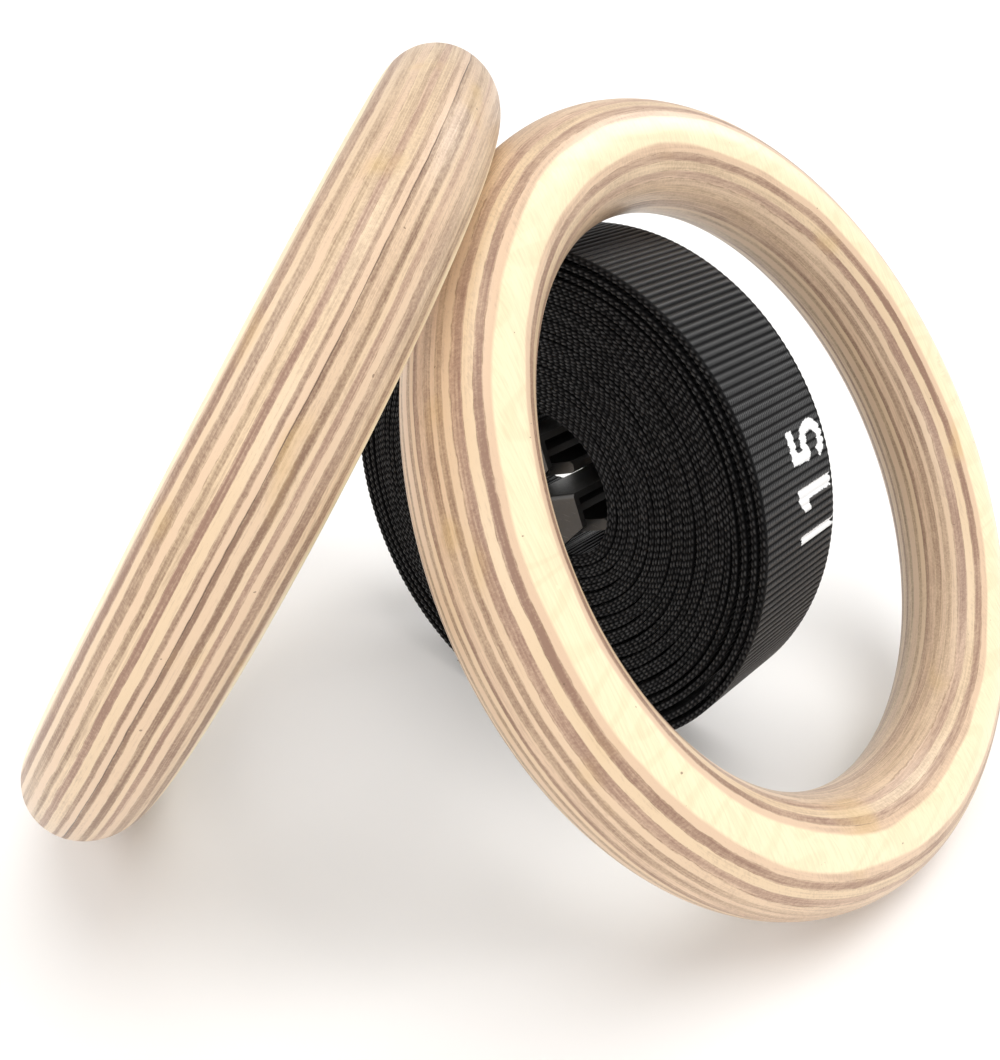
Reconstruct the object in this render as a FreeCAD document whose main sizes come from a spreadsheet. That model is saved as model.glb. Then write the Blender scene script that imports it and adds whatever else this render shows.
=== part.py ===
import FreeCAD, Part
import math
import os
import Sketcher

# A pair of wooden gymnastics rings with their two webbing straps.
# The straps are stacked, rolled up together from their buckle ends and stood on edge.
# One ring leans over the roll, the other ring leans on the first one.
# Roll axis along Y, front face of the roll toward -Y, floor at Z = 0, millimetres.

os.makedirs("parts", exist_ok=True)
doc = FreeCAD.newDocument("gymnastics_rings")
sheet = doc.addObject("Spreadsheet::Sheet", "dims")

DIMENSIONS = [
    # rings
    ("ring_outer_diameter", 235.0),
    ("grip_diameter", 32.0),
    ("ring_a_x", -50.11),
    ("ring_a_y", -81.34),
    ("ring_a_heading", -138.5),
    ("ring_a_tilt", 28.3),
    ("ring_b_x", 57.2),
    ("ring_b_y", 8.4),
    ("ring_b_heading", 0.0),
    ("ring_b_tilt", 36.8),
    # whole group: shift that puts the origin under the middle of its box
    ("group_x", 4.21),
    ("group_y", 26.94),
    # roll of webbing
    ("webbing_width", 38.0),
    ("webbing_thickness", 1.75),
    ("layer_pitch", 1.95),
    ("roll_centre_height", 79.15),
    ("roll_centre_drop", 1.1),
    ("core_x", -1.33),
    ("core_z", 2.75),
    ("core_radius", 26.7),
    ("first_layer_angle", 202.0),
    # the core isn't round: the layers sink toward the buckles' open side
    ("core_sink_depth", 10.0),
    ("core_sink_angle", -60.0),
    ("core_sink_spread", 36.0),
    ("strap_a_winding", 4634.0),
    ("strap_b_winding", 4752.0),
    ("strap_b_joins_after", 52.0),
    ("lead_in_radius", 8.0),
    ("fold_back_from", 13.0),
    ("fold_back_length", 32.0),
    # cam buckles: station along the buckle from its tail, rise above its base
    ("buckle_turn", 25.9),
    ("buckle_a_along", -13.4),
    ("buckle_a_across", -2.8),
    ("buckle_b_along", -20.1),
    ("buckle_b_across", -21.3),
    ("frame_length", 34.0),
    ("frame_height", 18.3),
    ("frame_width", 46.0),
    ("frame_plate", 2.0),
    ("window_reach", 19.6),
    ("nose_rise", 10.4),
    ("nose_slope_length", 15.9),
    ("corner_cut", 3.0),
    ("bar_diameter", 5.0),
    ("bar_station", 5.5),
    ("bar_rise", 7.6),
    ("pin_diameter", 4.0),
    ("pin_station", 15.5),
    ("pin_rise", 9.5),
    ("pin_head_diameter", 6.4),
    ("pin_head_thickness", 0.8),
    ("pin_bore_diameter", 4.1),
    ("lever_width", 36.4),
    ("lever_offset", 2.4),
    ("spring_wire", 0.9),
    ("spring_mean_radius", 3.1),
    ("spring_coils", 3.0),
    ("stitch_thickness", 0.45),
    ("stitch_width", 30.0),
]

for row, (alias, value) in enumerate(DIMENSIONS, start=1):
    sheet.set("A%d" % row, alias)
    sheet.set("B%d" % row, "%g" % value)
    sheet.setAlias("B%d" % row, alias)
doc.recompute()


def dim(alias):
    return float(sheet.get(alias))


def bind(obj, prop, formula):
    """Bind a property to sheet cells; every word in the formula is an alias."""
    words = []
    for word in formula.split():
        words.append("dims." + word if word[0].isalpha() else word)
    text = " ".join(words)
    obj.setExpression(prop, "0 " + text if text.startswith("- ") else text)


def vec(x, y, z):
    return FreeCAD.Vector(x, y, z)


# ---------------------------------------------------------------- placements

GROUP = vec(dim("group_x"), dim("group_y"), 0)


def roll_place():
    """Frame of the roll: origin on its axis, half way across the webbing."""
    return FreeCAD.Placement(GROUP + vec(0, 0, dim("roll_centre_height")), FreeCAD.Rotation())


def buckle_place(which):
    """Frame of a buckle: X from tail to nose, Z from its base toward its lever."""
    turn = math.radians(dim("buckle_turn"))
    along = vec(math.cos(turn), 0, math.sin(turn))
    across = vec(math.sin(turn), 0, -math.cos(turn))
    base = along * dim("buckle_%s_along" % which) + across * dim("buckle_%s_across" % which)
    rotation = FreeCAD.Rotation(along, along.cross(across) * -1, across, "XZY")
    return roll_place().multiply(FreeCAD.Placement(base, rotation))


def ring_place(which):
    """Frame of a ring: Z along its axis, the ring standing on the floor."""
    heading = math.radians(dim("ring_%s_heading" % which))
    tilt = math.radians(dim("ring_%s_tilt" % which))
    axis = vec(math.cos(heading) * math.cos(tilt), math.sin(heading) * math.cos(tilt), math.sin(tilt))
    grip = dim("grip_diameter") / 2
    radius = dim("ring_outer_diameter") / 2 - grip
    centre = vec(dim("ring_%s_x" % which), dim("ring_%s_y" % which), radius * math.cos(tilt) + grip)
    return FreeCAD.Placement(GROUP + centre, FreeCAD.Rotation(vec(0, 0, 1), axis))


# ---------------------------------------------------------------- rings

def make_ring(which):
    ring = doc.addObject("Part::Torus", "ring_" + which)
    ring.Label = "ring_" + which
    bind(ring, "Radius1", "ring_outer_diameter / 2 - grip_diameter / 2")
    bind(ring, "Radius2", "grip_diameter / 2")
    ring.Placement = ring_place(which)
    return ring


# ---------------------------------------------------------------- webbing

def polar(centre, radius, degrees):
    angle = math.radians(degrees)
    return centre + vec(radius * math.cos(angle), 0, radius * math.sin(angle))


def coil_point(which, winding):
    """Middle of the webbing after so many degrees of winding, clockwise from the front.

    Strap A lies outside strap B. The coil's centre moves from the core to the roll's middle,
    and the hollow side of the core fades out toward the rim.
    """
    layer = 1 if which == "a" else 0
    share = winding / dim("strap_b_winding")
    centre = vec(dim("core_x") * (1 - share), 0,
                 dim("core_z") * (1 - share) + dim("roll_centre_drop") * share)
    radius = dim("core_radius") + dim("webbing_thickness") / 2
    radius += dim("layer_pitch") * (layer + 2 * winding / 360)
    angle = dim("first_layer_angle") - winding
    radius -= core_sink(angle) * (1 - share)
    return centre, radius, polar(centre, radius, angle)


def core_sink(angle):
    """How far the webbing sinks toward the buckles at this angle."""
    away = (angle - dim("core_sink_angle") + 180) % 360 - 180
    return dim("core_sink_depth") * math.exp(-(away / dim("core_sink_spread")) ** 2)


def bar_centre(which):
    """Middle of the buckle's fixed bar in the roll's frame."""
    turn = math.radians(dim("buckle_turn"))
    along = vec(math.cos(turn), 0, math.sin(turn))
    across = vec(math.sin(turn), 0, -math.cos(turn))
    station = dim("buckle_%s_along" % which) + dim("bar_station")
    rise = dim("buckle_%s_across" % which) + dim("bar_rise")
    return along * station + across * rise


def left_of(direction):
    """The direction turned a quarter turn from +X toward +Z."""
    return vec(-direction.z, 0, direction.x)


def lead_in(which):
    """Webbing from the bar to the coil: a straight run, then a bend into the first layer."""
    start_winding = 0.0 if which == "a" else dim("strap_b_joins_after")
    centre, radius, join = coil_point(which, start_winding)
    bend = dim("lead_in_radius")
    bend_centre = join + (centre - join) * (bend / radius)
    eye = bar_radius() + 0.1 + dim("webbing_thickness") / 2
    bar = bar_centre(which)
    gap = bend_centre - bar
    side = math.atan2(gap.z, gap.x) + math.acos((eye - bend) / gap.Length)
    normal = vec(math.cos(side), 0, math.sin(side))
    points = []
    leave = bar + normal * eye
    meet = bend_centre + normal * bend
    steps = max(4, int((meet - leave).Length / 1.5))
    for i in range(steps):
        points.append(leave + (meet - leave) * (i / steps))
    stop = math.radians(dim("first_layer_angle") - start_winding)
    turn = (side - stop) % (2 * math.pi)
    steps = max(4, int(math.degrees(turn) / 9))
    for i in range(steps):
        angle = side - turn * i / steps
        points.append(bend_centre + vec(math.cos(angle), 0, math.sin(angle)) * bend)
    return points, bar, eye, math.degrees(side), start_winding


def bar_radius():
    return dim("bar_diameter") / 2


def offset(points, distance):
    """Points moved to the left of their own direction of travel."""
    moved = []
    for i, point in enumerate(points):
        before = points[max(i - 1, 0)]
        after = points[min(i + 1, len(points) - 1)]
        travel = after - before
        travel.normalize()
        moved.append(point + left_of(travel) * distance)
    return moved


def stretch_of(points, start, stop):
    """The part of a run of points between two lengths along it."""
    kept = []
    done = 0.0
    last = points[0]
    for point in points:
        done += (point - last).Length
        last = point
        if start <= done <= stop:
            kept.append(point)
    return kept


def bezier(one, two, three, four, steps):
    """Points along a cubic curve, its ends left out."""
    points = []
    for i in range(1, steps):
        t = i / steps
        points.append(one * (1 - t) ** 3 + two * (3 * t * (1 - t) ** 2)
                      + three * (3 * t * t * (1 - t)) + four * t ** 3)
    return points


def strap_line(which):
    """Middle line of one strap: folded end, turn round the bar, lead-in, then the coil."""
    lead, bar, eye, side, start = lead_in(which)
    winding = dim("strap_%s_winding" % which)
    steps = int((winding - start) / 8)
    coil = []
    for i in range(steps + 1):
        coil.append(coil_point(which, start + (winding - start) * i / steps)[2])
    main = lead + coil
    # the folded end lies on the inner side of the main run, one layer in
    gap = dim("webbing_thickness") + 0.12
    fold = stretch_of(offset(main, -gap), dim("fold_back_from"), dim("fold_back_length"))
    fold.reverse()
    turn = [polar(bar, eye, side + 200 * (1 - i / 14)) for i in range(14)]
    into_turn = (turn[1] - turn[0]).normalize()
    off_fold = (fold[-1] - fold[-2]).normalize()
    reach = (turn[0] - fold[-1]).Length * 0.42
    join = bezier(fold[-1], fold[-1] + off_fold * reach, turn[0] - into_turn * reach, turn[0], 8)
    return fold + join + turn + main, fold


def smooth(points):
    """Smooth edges through the points, in stretches of a few points each."""
    curve = Part.BSplineCurve()
    curve.interpolate(points)
    knots = curve.getKnots()
    edges = []
    first = 0
    while first < len(knots) - 1:
        last = min(first + 10, len(knots) - 1)
        piece = curve.copy()
        piece.segment(knots[first], knots[last])
        edges.append(piece.toShape())
        first = last
    return edges


def band(points, thickness, width):
    """A flat band that follows the points, as wide as the webbing along Y."""
    points = [point - vec(0, width / 2, 0) for point in points]
    left = offset(points, thickness / 2)
    right = offset(points, -thickness / 2)
    edges = smooth(left) + [Part.makeLine(left[-1], right[-1])]
    edges += smooth(right) + [Part.makeLine(right[0], left[0])]
    face = Part.Face(Part.Wire(Part.__sortEdges__(edges)))
    solid = face.extrude(vec(0, width, 0))
    if solid.Volume < 0:
        solid.reverse()
    return solid


def length_of(points):
    total = 0.0
    for one, two in zip(points, points[1:]):
        total += (two - one).Length
    return total


def make_strap(which):
    points, fold = strap_line(which)
    strap = doc.addObject("Part::Feature", "strap_" + which)
    strap.Label = "strap_" + which
    strap.Shape = band(points, dim("webbing_thickness"), dim("webbing_width"))
    strap.Placement = roll_place()
    print("strap_%s length %.0f mm" % (which, length_of(points)))
    return strap


def make_stitching(which):
    """Dense block of thread that holds the folded end, on its inner face."""
    points, fold = strap_line(which)
    depth = dim("webbing_thickness") / 2 + dim("stitch_thickness") / 2 + 0.02
    line = offset(fold[:-1], depth)
    block = doc.addObject("Part::Feature", "stitching_" + which)
    block.Label = "stitching_" + which
    block.Shape = band(line, dim("stitch_thickness"), dim("stitch_width"))
    block.Placement = roll_place()
    return block


# ---------------------------------------------------------------- sketch helpers

def origin_plane(body, role):
    for feature in body.Origin.OriginFeatures:
        if feature.Role == role:
            return feature
    raise ValueError(role)


def new_sketch(body, name, role):
    sketch = body.newObject("Sketcher::SketchObject", name)
    sketch.AttachmentSupport = [(origin_plane(body, role), "")]
    sketch.MapMode = "FlatFace"
    return sketch


def add_polygon(sketch, corners):
    """Closed outline; each corner is a pair of formulas of sheet cells."""
    spots = [vec(evaluate(x), evaluate(y), 0) for x, y in corners]
    first = sketch.GeometryCount
    count = len(spots)
    for i in range(count):
        sketch.addGeometry(Part.LineSegment(spots[i], spots[(i + 1) % count]))
    for i in range(count):
        nxt = (i + 1) % count
        sketch.addConstraint(Sketcher.Constraint("Coincident", first + i, 2, first + nxt, 1))
    for i, (x, y) in enumerate(corners):
        for kind, value, formula in (("DistanceX", spots[i].x, x), ("DistanceY", spots[i].y, y)):
            rule = Sketcher.Constraint(kind, -1, 1, first + i, 1, value)
            index = sketch.addConstraint(rule)
            bind(sketch, "Constraints[%d]" % index, formula)


def evaluate(formula):
    """Value of a formula of aliases and numbers joined by + and -, with / 2 allowed."""
    total = 0.0
    sign = 1.0
    term = None
    words = formula.split()
    i = 0
    while i < len(words):
        word = words[i]
        if word in "+-":
            sign = 1.0 if word == "+" else -1.0
        elif word == "/":
            total -= term
            total += term / float(words[i + 1])
            i += 1
        else:
            term = sign * (dim(word) if word[0].isalpha() else float(word))
            total += term
        i += 1
    return total


def add_circle(sketch, x, y, diameter):
    item = sketch.addGeometry(Part.Circle(vec(evaluate(x), evaluate(y), 0), vec(0, 0, 1),
                                          evaluate(diameter) / 2))
    for kind, value, formula in (("DistanceX", evaluate(x), x), ("DistanceY", evaluate(y), y)):
        index = sketch.addConstraint(Sketcher.Constraint(kind, -1, 1, item, 3, value))
        bind(sketch, "Constraints[%d]" % index, formula)
    index = sketch.addConstraint(Sketcher.Constraint("Diameter", item, evaluate(diameter)))
    bind(sketch, "Constraints[%d]" % index, diameter)


def pad(body, sketch, name, length):
    feature = body.newObject("PartDesign::Pad", name)
    feature.Profile = sketch
    feature.SideType = "Symmetric"
    bind(feature, "Length", length)
    return feature


def pocket(body, sketch, name, length):
    feature = body.newObject("PartDesign::Pocket", name)
    feature.Profile = sketch
    feature.SideType = "Symmetric"
    bind(feature, "Length", length)
    return feature


# ---------------------------------------------------------------- cam buckles

def make_frame(which):
    """Channel of bent plate: two side cheeks, a base with a window and a round bar."""
    body = doc.addObject("PartDesign::Body", "buckle_frame_" + which)
    body.Label = "buckle_frame_" + which
    outline = new_sketch(body, "cheek_outline_" + which, "XZ_Plane")
    add_polygon(outline, [
        ("corner_cut", "0"),
        ("frame_length", "0"),
        ("frame_length", "nose_rise"),
        ("frame_length - nose_slope_length", "frame_height"),
        ("corner_cut", "frame_height"),
        ("0", "frame_height - corner_cut"),
        ("0", "corner_cut"),
    ])
    pad(body, outline, "cheeks_" + which, "frame_width")
    inside = new_sketch(body, "channel_outline_" + which, "XZ_Plane")
    add_polygon(inside, [
        ("- 1", "frame_plate"),
        ("frame_length + 1", "frame_plate"),
        ("frame_length + 1", "frame_height + 1"),
        ("- 1", "frame_height + 1"),
    ])
    pocket(body, inside, "channel_" + which, "frame_width - frame_plate - frame_plate")
    window = new_sketch(body, "window_outline_" + which, "XY_Plane")
    add_polygon(window, [
        ("corner_cut - 4", "- window_reach"),
        ("pin_station - 5", "- window_reach"),
        ("pin_station - 5", "window_reach"),
        ("corner_cut - 4", "window_reach"),
    ])
    pocket(body, window, "window_" + which, "frame_plate * 4")
    bar = new_sketch(body, "bar_outline_" + which, "XZ_Plane")
    add_circle(bar, "bar_station", "bar_rise", "bar_diameter")
    pad(body, bar, "bar_" + which, "frame_width - frame_plate")
    holes = new_sketch(body, "pin_hole_outline_" + which, "XZ_Plane")
    add_circle(holes, "pin_station", "pin_rise", "pin_bore_diameter")
    pocket(body, holes, "pin_holes_" + which, "frame_width + 2")
    doc.recompute()
    soften(body, which)
    body.Placement = buckle_place(which)
    return body


def soften(body, which):
    """Round the two long bends between the base and the cheeks, outside."""
    tip = body.Tip
    names = []
    for number, edge in enumerate(tip.Shape.Edges, start=1):
        box = edge.BoundBox
        if box.ZMax < 0.01 and box.YLength < 0.01 and box.XLength > 20:
            if abs(abs(box.YMax) - dim("frame_width") / 2) < 0.01:
                names.append("Edge%d" % number)
    fillet = body.newObject("PartDesign::Fillet", "bends_" + which)
    fillet.Base = (tip, names)
    bind(fillet, "Radius", "frame_plate / 2 + 0.4")


LEVER_ARM = [
    # thumb tab and hub, measured from the pin; +X toward the nose, +Z away from the base
    (5.2, 0.2), (15.5, 0.6), (21.2, 0.9), (22.0, 1.8), (21.8, 3.6), (20.6, 4.4),
    (14.0, 4.2), (5.5, 4.6), (2.6, 5.2), (-2.2, 5.0), (-4.6, 3.0), (-5.3, 0.0),
]
CAM_TEETH = 6
CAM_FROM = 218.0
CAM_TO = 276.0
CAM_RADIUS = 7.0
TOOTH_DEPTH = 0.8


def lever_outline():
    """Hub, toothed cam and thumb tab as one closed run of corners, from the pin."""
    corners = list(LEVER_ARM)
    step = (CAM_TO - CAM_FROM) / CAM_TEETH
    for i in range(CAM_TEETH):
        low = math.radians(CAM_FROM + step * i)
        high = math.radians(CAM_FROM + step * (i + 0.75))
        root = CAM_RADIUS - TOOTH_DEPTH
        corners.append((root * math.cos(low), root * math.sin(low)))
        corners.append((CAM_RADIUS * math.cos(high), CAM_RADIUS * math.sin(high)))
    for degrees, radius in ((282.0, 5.8), (296.0, 5.0), (318.0, 4.6), (338.0, 4.7)):
        angle = math.radians(degrees)
        corners.append((radius * math.cos(angle), radius * math.sin(angle)))
    return corners


def make_lever(which):
    """Spring-loaded cam with teeth under its hub and a thumb tab toward the nose."""
    body = doc.addObject("PartDesign::Body", "cam_lever_" + which)
    body.Label = "cam_lever_" + which
    outline = new_sketch(body, "lever_outline_" + which, "XZ_Plane")
    corners = []
    for x, z in lever_outline():
        corners.append(("pin_station + %.4f" % x, "pin_rise + %.4f" % z))
    add_polygon(outline, [(x.replace("+ -", "- "), z.replace("+ -", "- ")) for x, z in corners])
    pad(body, outline, "lever_solid_" + which, "lever_width")
    bore = new_sketch(body, "lever_bore_outline_" + which, "XZ_Plane")
    add_circle(bore, "pin_station", "pin_rise", "pin_bore_diameter")
    pocket(body, bore, "lever_bore_" + which, "lever_width + 2")
    shift = FreeCAD.Placement(vec(0, -dim("lever_offset"), 0), FreeCAD.Rotation())
    body.Placement = buckle_place(which).multiply(shift)
    return body


def make_pin(which):
    """Headed pivot pin, riveted over at both ends outside the cheeks."""
    body = doc.addObject("PartDesign::Body", "pivot_pin_" + which)
    body.Label = "pivot_pin_" + which
    shank = new_sketch(body, "pin_outline_" + which, "XZ_Plane")
    add_circle(shank, "pin_station", "pin_rise", "pin_diameter")
    pad(body, shank, "pin_shank_" + which, "frame_width + pin_head_thickness")
    for side, sign in (("front", -1), ("back", 1)):
        head = new_sketch(body, "pin_%s_head_outline_%s" % (side, which), "XZ_Plane")
        add_circle(head, "pin_station", "pin_rise", "pin_head_diameter")
        place = "frame_width / 2 + pin_head_thickness / 2 + 0.02"
        bind(head, "AttachmentOffset.Base.z", place if sign > 0 else "0 - frame_width / 2 "
             "- pin_head_thickness / 2 - 0.02")
        pad(body, head, "pin_%s_head_%s" % (side, which), "pin_head_thickness")
    body.Placement = buckle_place(which)
    return body


def make_spring(which):
    """Torsion spring round the pin, between the lever and the far cheek."""
    wire = dim("spring_wire")
    radius = dim("spring_mean_radius")
    pitch = wire + 0.12
    height = pitch * dim("spring_coils")
    helix = Part.makeHelix(pitch, height, radius)
    circle = Part.Wire(Part.makeCircle(wire / 2, vec(radius, 0, 0), vec(0, 1, 0)))
    coil = Part.Wire(helix).makePipeShell([circle], True, True)
    start = dim("frame_width") / 2 - dim("frame_plate") - 0.35 - wire / 2 - height
    spring = doc.addObject("Part::Feature", "cam_spring_" + which)
    spring.Label = "cam_spring_" + which
    spring.Shape = coil
    centre = vec(dim("pin_station"), start, dim("pin_rise"))
    onto_pin = FreeCAD.Placement(centre, FreeCAD.Rotation(vec(1, 0, 0), -90))
    spring.Placement = buckle_place(which).multiply(onto_pin)
    return spring


# ---------------------------------------------------------------- assembly

pieces = []
for which in ("a", "b"):
    pieces.append(make_ring(which))
    pieces.append(make_strap(which))
    pieces.append(make_stitching(which))
    pieces.append(make_frame(which))
    pieces.append(make_lever(which))
    pieces.append(make_pin(which))
    pieces.append(make_spring(which))
doc.recompute()

for obj in doc.Objects:
    if "Invalid" in obj.State or "Error" in obj.State:
        raise RuntimeError("%s failed: %s" % (obj.Label, obj.State))
for piece in pieces:
    if piece.Shape.isNull() or not piece.Shape.isValid():
        raise RuntimeError("%s has no valid shape" % piece.Label)
    if len(piece.Shape.Solids) != 1:
        raise RuntimeError("%s has %d solids" % (piece.Label, len(piece.Shape.Solids)))

for piece in pieces:
    piece.Shape.exportStep("parts/%s.step" % piece.Label)
    print("%-18s %9.1f mm3" % (piece.Label, piece.Shape.Volume))
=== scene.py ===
import math
import bpy
import numpy as np
from mathutils import Matrix, Vector


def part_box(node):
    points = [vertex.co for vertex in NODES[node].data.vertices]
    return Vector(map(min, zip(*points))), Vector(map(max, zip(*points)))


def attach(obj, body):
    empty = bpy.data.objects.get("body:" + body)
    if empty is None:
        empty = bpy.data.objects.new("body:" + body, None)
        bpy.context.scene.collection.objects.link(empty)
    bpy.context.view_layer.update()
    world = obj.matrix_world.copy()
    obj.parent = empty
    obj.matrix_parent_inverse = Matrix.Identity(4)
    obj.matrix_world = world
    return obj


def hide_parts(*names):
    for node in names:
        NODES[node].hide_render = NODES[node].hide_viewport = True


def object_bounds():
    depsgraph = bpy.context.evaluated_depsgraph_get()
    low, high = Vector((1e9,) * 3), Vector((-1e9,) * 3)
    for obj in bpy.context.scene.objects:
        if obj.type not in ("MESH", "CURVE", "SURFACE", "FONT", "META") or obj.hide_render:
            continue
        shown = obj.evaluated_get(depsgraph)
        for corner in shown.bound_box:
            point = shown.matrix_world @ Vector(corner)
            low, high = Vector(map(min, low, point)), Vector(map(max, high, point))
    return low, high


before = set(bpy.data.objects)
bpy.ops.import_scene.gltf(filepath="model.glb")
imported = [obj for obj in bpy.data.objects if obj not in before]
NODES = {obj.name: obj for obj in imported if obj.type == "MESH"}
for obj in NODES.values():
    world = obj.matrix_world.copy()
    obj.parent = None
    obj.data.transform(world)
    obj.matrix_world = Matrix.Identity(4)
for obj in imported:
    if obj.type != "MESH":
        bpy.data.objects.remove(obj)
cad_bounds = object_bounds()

# A pair of laminated birch gymnastics rings leaning on a standing roll of two black webbing straps.
# Lengths are in millimetres until they go into a mesh; MM turns them into metres.

MM = 0.001


# ------------------------------------------------------------------ places taken from the frame

def box_mm(node):
    low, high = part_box(node)
    return np.array(low) / MM, np.array(high) / MM


STRAP_LOW, STRAP_HIGH = box_mm("strap_a")
ROLL_Y = (STRAP_LOW[1] + STRAP_HIGH[1]) / 2
WIDTH = STRAP_HIGH[1] - STRAP_LOW[1]


# ------------------------------------------------------------------ camera, light and floor

CAMERA_PLACE = (0.19749, -0.23473, 0.24195)
CAMERA_HEADING = math.radians(40.465)
CAMERA_PITCH = math.radians(27.545)
CAMERA_ROLL = math.radians(2.518)
CAMERA_LENS = 38.867
CAMERA_SHIFT_Y = -0.0283
FLOOR_REACH = 30
WORLD_STRENGTH = 0.66


def make_camera():
    data = bpy.data.cameras.new("camera")
    camera = bpy.data.objects.new("camera", data)
    bpy.context.collection.objects.link(camera)
    bpy.context.scene.camera = camera
    data.sensor_width = 36.0
    data.sensor_fit = "AUTO"
    data.lens = CAMERA_LENS
    data.shift_y = CAMERA_SHIFT_Y
    data.clip_start = 0.01
    data.clip_end = 100.0
    heading, pitch, roll = CAMERA_HEADING, CAMERA_PITCH, CAMERA_ROLL
    right = Vector((math.cos(heading), math.sin(heading), 0))
    ahead = Vector((-math.sin(heading) * math.cos(pitch), math.cos(heading) * math.cos(pitch),
                    -math.sin(pitch)))
    over = right.cross(ahead)
    tilted_right = right * math.cos(roll) + over * math.sin(roll)
    tilted_over = over * math.cos(roll) - right * math.sin(roll)
    matrix = Matrix((tilted_right, tilted_over, -ahead)).transposed().to_4x4()
    matrix.translation = Vector(CAMERA_PLACE)
    camera.matrix_world = matrix


def make_sun(name, place, power, angle, colour):
    """A wide soft light from far away, shining from that side toward the middle."""
    data = bpy.data.lights.new(name, "SUN")
    data.energy = power
    data.angle = math.radians(angle)
    data.color = colour
    lamp = bpy.data.objects.new(name, data)
    bpy.context.collection.objects.link(lamp)
    lamp.location = place
    lamp.rotation_euler = (-Vector(place)).to_track_quat("-Z", "Y").to_euler()


def make_floor():
    mesh = bpy.data.meshes.new("floor")
    reach = FLOOR_REACH
    corners = [(-reach, -reach, 0), (reach, -reach, 0), (reach, reach, 0), (-reach, reach, 0)]
    mesh.from_pydata(corners, [], [(0, 1, 2, 3)])
    floor = bpy.data.objects.new("floor", mesh)
    bpy.context.collection.objects.link(floor)
    material = bpy.data.materials.new("floor_paper")
    material.use_nodes = True
    shader = material.node_tree.nodes["Principled BSDF"]
    shader.inputs["Base Color"].default_value = (0.92, 0.915, 0.91, 1)
    shader.inputs["Roughness"].default_value = 0.7
    mesh.materials.append(material)


def make_light():
    world = bpy.data.worlds.new("world")
    world.use_nodes = True
    world.node_tree.nodes["Background"].inputs["Color"].default_value = (1.0, 1.0, 1.0, 1)
    world.node_tree.nodes["Background"].inputs["Strength"].default_value = WORLD_STRENGTH
    bpy.context.scene.world = world
    bpy.context.scene.view_settings.view_transform = "Standard"
    make_sun("key", (0.25, 0.0, 1.2), 1.0, 35, (1.0, 0.985, 0.96))
    make_sun("back", (0.12, 0.86, 0.62), 0.75, 25, (1.0, 0.995, 0.985))
    make_sun("left", (-0.9, -0.75, 1.0), 0.7, 30, (1.0, 0.99, 0.97))
    make_sun("right", (0.75, -0.8, 0.8), 0.75, 30, (1.0, 0.995, 0.985))


# ------------------------------------------------------------------ shader helpers

class Graph:
    """Short names for the nodes of one material."""

    def __init__(self, name):
        self.material = bpy.data.materials.new(name)
        self.material.use_nodes = True
        self.tree = self.material.node_tree
        self.shader = self.tree.nodes["Principled BSDF"]

    def node(self, kind, **settings):
        made = self.tree.nodes.new(kind)
        for key, value in settings.items():
            setattr(made, key, value)
        return made

    def plug(self, source, socket):
        if isinstance(source, (int, float)):
            socket.default_value = source
        elif isinstance(source, tuple):
            opaque = len(source) == 3 and socket.type != "VECTOR"
            socket.default_value = (*source, 1) if opaque else source
        else:
            self.tree.links.new(source, socket)

    def math(self, operation, a, b=0.0, clamp=False):
        made = self.node("ShaderNodeMath", operation=operation, use_clamp=clamp)
        for source, socket in zip((a, b), made.inputs):
            self.plug(source, socket)
        return made.outputs[0]

    def add(self, a, b, clamp=False):
        return self.math("ADD", a, b, clamp=clamp)

    def less(self, a, b):
        return self.math("SUBTRACT", a, b)

    def times(self, a, b, clamp=False):
        return self.math("MULTIPLY", a, b, clamp=clamp)

    def rest(self, value):
        """What is left of one."""
        return self.less(1.0, value)

    def swing(self, value, amount):
        """How far the value is from one half, times an amount."""
        return self.times(self.less(value, 0.5), amount)

    def smooth(self, value, low, high, out_low=0.0, out_high=1.0):
        made = self.node("ShaderNodeMapRange", interpolation_type="SMOOTHSTEP")
        for source, socket in zip((value, low, high, out_low, out_high), made.inputs):
            self.plug(source, socket)
        return made.outputs[0]

    def mix(self, factor, a, b):
        made = self.node("ShaderNodeMix", data_type="RGBA", clamp_factor=True)
        self.plug(factor, made.inputs["Factor"])
        colours = [s for s in made.inputs if s.type == "RGBA"]
        self.plug(a, colours[0])
        self.plug(b, colours[1])
        return [s for s in made.outputs if s.type == "RGBA"][0]

    def attribute(self, name):
        made = self.node("ShaderNodeAttribute", attribute_name=name)
        split = self.node("ShaderNodeSeparateXYZ")
        self.tree.links.new(made.outputs["Vector"], split.inputs[0])
        return made.outputs["Vector"], split.outputs[0], split.outputs[1], split.outputs[2]

    def combine(self, x, y, z):
        made = self.node("ShaderNodeCombineXYZ")
        for source, socket in zip((x, y, z), made.inputs):
            self.plug(source, socket)
        return made.outputs[0]

    def noise(self, vector, scale, detail, roughness):
        made = self.node("ShaderNodeTexNoise")
        self.plug(vector, made.inputs["Vector"])
        made.inputs["Scale"].default_value = scale
        made.inputs["Detail"].default_value = detail
        made.inputs["Roughness"].default_value = roughness
        return made.outputs[0]

    def random(self, value, shift):
        made = self.node("ShaderNodeTexWhiteNoise", noise_dimensions="1D")
        self.plug(self.add(value, shift), made.inputs["W"])
        return made.outputs["Value"]

    def bump(self, height, strength, distance):
        made = self.node("ShaderNodeBump")
        self.plug(height, made.inputs["Height"])
        made.inputs["Strength"].default_value = strength
        made.inputs["Distance"].default_value = distance
        return made.outputs[0]

    def finish(self, colour, roughness, normal):
        self.plug(colour, self.shader.inputs["Base Color"])
        self.plug(roughness, self.shader.inputs["Roughness"])
        self.tree.links.new(normal, self.shader.inputs["Normal"])
        return self.material


# ------------------------------------------------------------------ mesh helpers

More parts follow.
